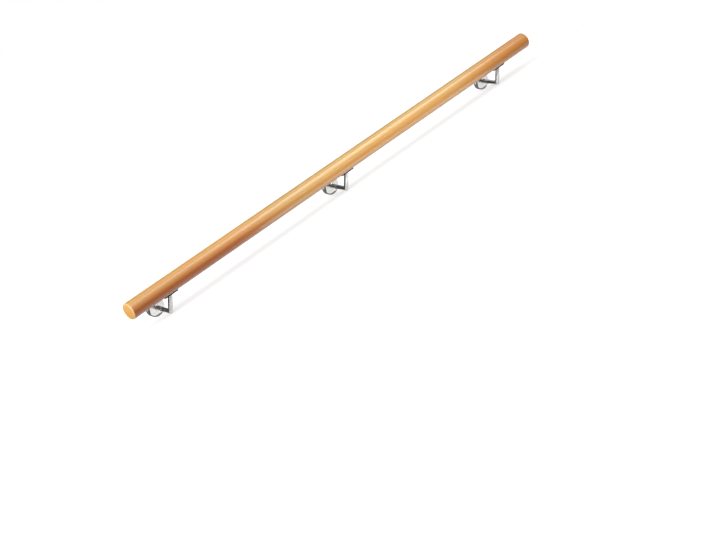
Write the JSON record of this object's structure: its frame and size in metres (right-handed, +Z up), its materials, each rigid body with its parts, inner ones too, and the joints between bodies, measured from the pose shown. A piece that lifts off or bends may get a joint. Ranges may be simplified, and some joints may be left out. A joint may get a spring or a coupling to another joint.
{
  "type": "stair handrail length",
  "caption": "Round hardwood stair handrail length with flat eased ends, carried on steel wall brackets with a round rose, an L-shaped bar and a curved saddle.",
  "frame": {"origin": "on the floor under the middle of the set's box, where the roses' lower rims and the bars' corners stand", "axes": "+X along the rail from its lower end to its upper end, +Y towards the wall side, +Z up; the set stands tipped about X from the way it hangs"},
  "size_m": [1.5, 0.116, 0.091],
  "materials": {
    "rail_wood": "clear satin lacquer over fine straight grain",
    "rose_steel": "turned and polished stainless steel",
    "bar_steel": "polished stainless steel bar",
    "saddle_steel": "blackened satin steel sheet",
    "screw_steel": "blackened steel screw"
  },
  "bodies": {
    "root": {"handrail": "rail_wood", "wall_rose_1": "rose_steel", "bracket_arm_1": "bar_steel", "saddle_plate_1": "saddle_steel", "saddle_screw_1a": "screw_steel", "saddle_screw_1b": "screw_steel", "wall_rose_2": "rose_steel", "bracket_arm_2": "bar_steel", "saddle_plate_2": "saddle_steel", "saddle_screw_2a": "screw_steel", "saddle_screw_2b": "screw_steel", "wall_rose_3": "rose_steel", "bracket_arm_3": "bar_steel", "saddle_plate_3": "saddle_steel", "saddle_screw_3a": "screw_steel", "saddle_screw_3b": "screw_steel"}
  },
  "joints": []
}
